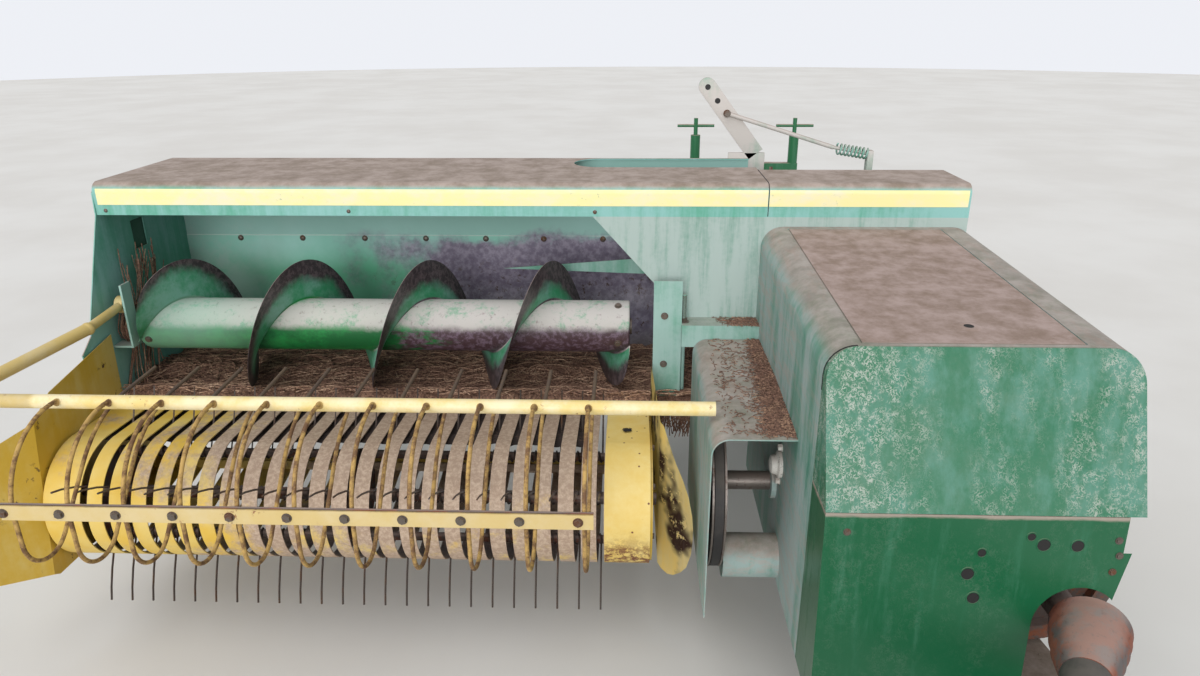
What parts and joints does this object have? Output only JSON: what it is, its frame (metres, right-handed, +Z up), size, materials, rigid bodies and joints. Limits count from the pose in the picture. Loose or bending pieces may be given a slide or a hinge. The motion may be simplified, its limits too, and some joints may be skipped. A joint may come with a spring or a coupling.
{
  "type": "square baler",
  "caption": "Small square baler with side pickup, auger under a long hood, drive shield, swinging tongue, bale case and knotter.",
  "frame": {"origin": "middle of the footprint's box, on the ground", "axes": "+Y to the rear along the bale case, -Y in the direction of travel, +X away from the pickup, +Z up"},
  "size_m": [2.8793, 5.312, 1.4871],
  "materials": {
    "green_paint": "faded, dusty",
    "yellow_paint": "faded, with rust",
    "bare_iron": "rusty",
    "spring_steel": "worn",
    "zinc_steel": "dull",
    "black_plastic": "dusty",
    "tyre": "weathered"
  },
  "bodies": {
    "baler": {"front_frame": "green_paint", "bale_case": "green_paint", "density_rails": "green_paint", "plunger": "bare_iron", "crank_and_rod": "bare_iron", "gearbox": "green_paint", "hood": "green_paint", "end_panel": "green_paint", "gusset_panel": "green_paint", "platform": "green_paint", "platform_frame": "green_paint", "hay_guide": "green_paint", "windguard_post": "green_paint", "drive_shield": "green_paint", "shield_upper_panel": "green_paint", "shield_lower_panel": "green_paint", "belt_guard": "green_paint", "lift_bracket": "green_paint", "axle": "green_paint", "knotter": "bare_iron", "twine_box": "green_paint", "feeder_linkage": "green_paint"},
    "chute": {"bale_chute": "green_paint"},
    "flywheel": {"flywheel": "bare_iron"},
    "auger": {"auger": "green_paint"},
    "pickup": {"pickup_frame": "yellow_paint", "strippers": "yellow_paint", "far_flare": "yellow_paint", "near_flare": "yellow_paint"},
    "reel": {"tine_reel": "spring_steel"},
    "windguard": {"windguard": "yellow_paint"},
    "shield_lid": {"shield_lid": "green_paint"},
    "belt_sheave": {"belt_sheave": "bare_iron"},
    "tongue": {"tongue": "green_paint", "pto_guard": "black_plastic"},
    "pto_shaft": {"pto_shaft": "spring_steel"},
    "jack": {"jack_leg": "zinc_steel"},
    "near_wheel": {"near_rim": "yellow_paint", "near_tyre": "tyre"},
    "far_wheel": {"far_rim": "yellow_paint", "far_tyre": "tyre"},
    "needle_yoke": {"needle_yoke": "bare_iron"},
    "knotter_cover": {"knotter_cover": "green_paint"},
    "metering_wheel": {"metering_wheel": "bare_iron"},
    "twine_box_lid": {"twine_box_lid": "green_paint"}
  },
  "joints": [
    {"name": "chute_fold", "type": "hinge", "parent": "baler", "child": "chute", "pos_m": [0.82975, 2.26597, 0.512], "axis": [-1, 0, 0], "range_deg": [0, 80]},
    {"name": "flywheel_spin", "type": "hinge", "parent": "baler", "child": "flywheel", "pos_m": [1.07975, -1.04404, 0.545], "axis": [0, 1, 0], "continuous": true},
    {"name": "auger_spin", "type": "hinge", "parent": "baler", "child": "auger", "pos_m": [-0.47025, -0.22903, 0.79], "axis": [1, 0, 0], "continuous": true},
    {"name": "pickup_lift", "type": "hinge", "parent": "baler", "child": "pickup", "pos_m": [-0.47025, -0.18404, 0.5], "axis": [1, 0, 0], "range_deg": [0, 8]},
    {"name": "reel_spin", "type": "hinge", "parent": "pickup", "child": "reel", "pos_m": [-0.47025, -0.58203, 0.412], "axis": [1, 0, 0], "continuous": true},
    {"name": "windguard_lift", "type": "hinge", "parent": "baler", "child": "windguard", "pos_m": [-1.30025, -0.26904, 0.862], "axis": [-1, 0, 0], "range_deg": [0, 30]},
    {"name": "shield_lid_hinge", "type": "hinge", "parent": "baler", "child": "shield_lid", "pos_m": [1.07575, -0.64404, 1.08765], "axis": [0, 0.9995, 0.0328], "range_deg": [0, 100]},
    {"name": "belt_sheave_spin", "type": "hinge", "parent": "baler", "child": "belt_sheave", "pos_m": [0.44975, -0.69903, 0.545], "axis": [1, 0, 0], "continuous": true},
    {"name": "tongue_swing", "type": "hinge", "parent": "baler", "child": "tongue", "pos_m": [1.07975, -1.28404, 0.305], "axis": [0, 0, 1], "range_deg": [0, 29]},
    {"name": "pto_spin", "type": "hinge", "parent": "tongue", "child": "pto_shaft", "pos_m": [1.07975, -1.28404, 0.545], "axis": [-0.4848, -0.8746, 0], "continuous": true},
    {"name": "jack_extend", "type": "slide", "parent": "tongue", "child": "jack", "axis": [0, 0, 1], "range_m": [0, 0.2]},
    {"name": "near_wheel_spin", "type": "hinge", "parent": "baler", "child": "near_wheel", "pos_m": [1.29975, 1.00596, 0.375], "axis": [1, 0, 0], "continuous": true},
    {"name": "far_wheel_spin", "type": "hinge", "parent": "baler", "child": "far_wheel", "pos_m": [-1.09025, 1.00596, 0.35], "axis": [1, 0, 0], "continuous": true},
    {"name": "needle_lift", "type": "hinge", "parent": "baler", "child": "needle_yoke", "pos_m": [0.82975, 0.87596, 0.678], "axis": [-1, 0, 0], "range_deg": [0, 55]},
    {"name": "knotter_cover_hinge", "type": "hinge", "parent": "baler", "child": "knotter_cover", "pos_m": [0.82975, 0.92997, 0.976], "axis": [-1, 0, 0], "range_deg": [0, 70]},
    {"name": "metering_wheel_spin", "type": "hinge", "parent": "baler", "child": "metering_wheel", "pos_m": [0.82975, 1.14596, 0.936], "axis": [1, 0, 0], "continuous": true},
    {"name": "twine_box_lid_hinge", "type": "hinge", "parent": "baler", "child": "twine_box_lid", "pos_m": [0.56125, 0.54597, 1.0718], "axis": [0, 1, 0], "range_deg": [0, 85]}
  ]
}
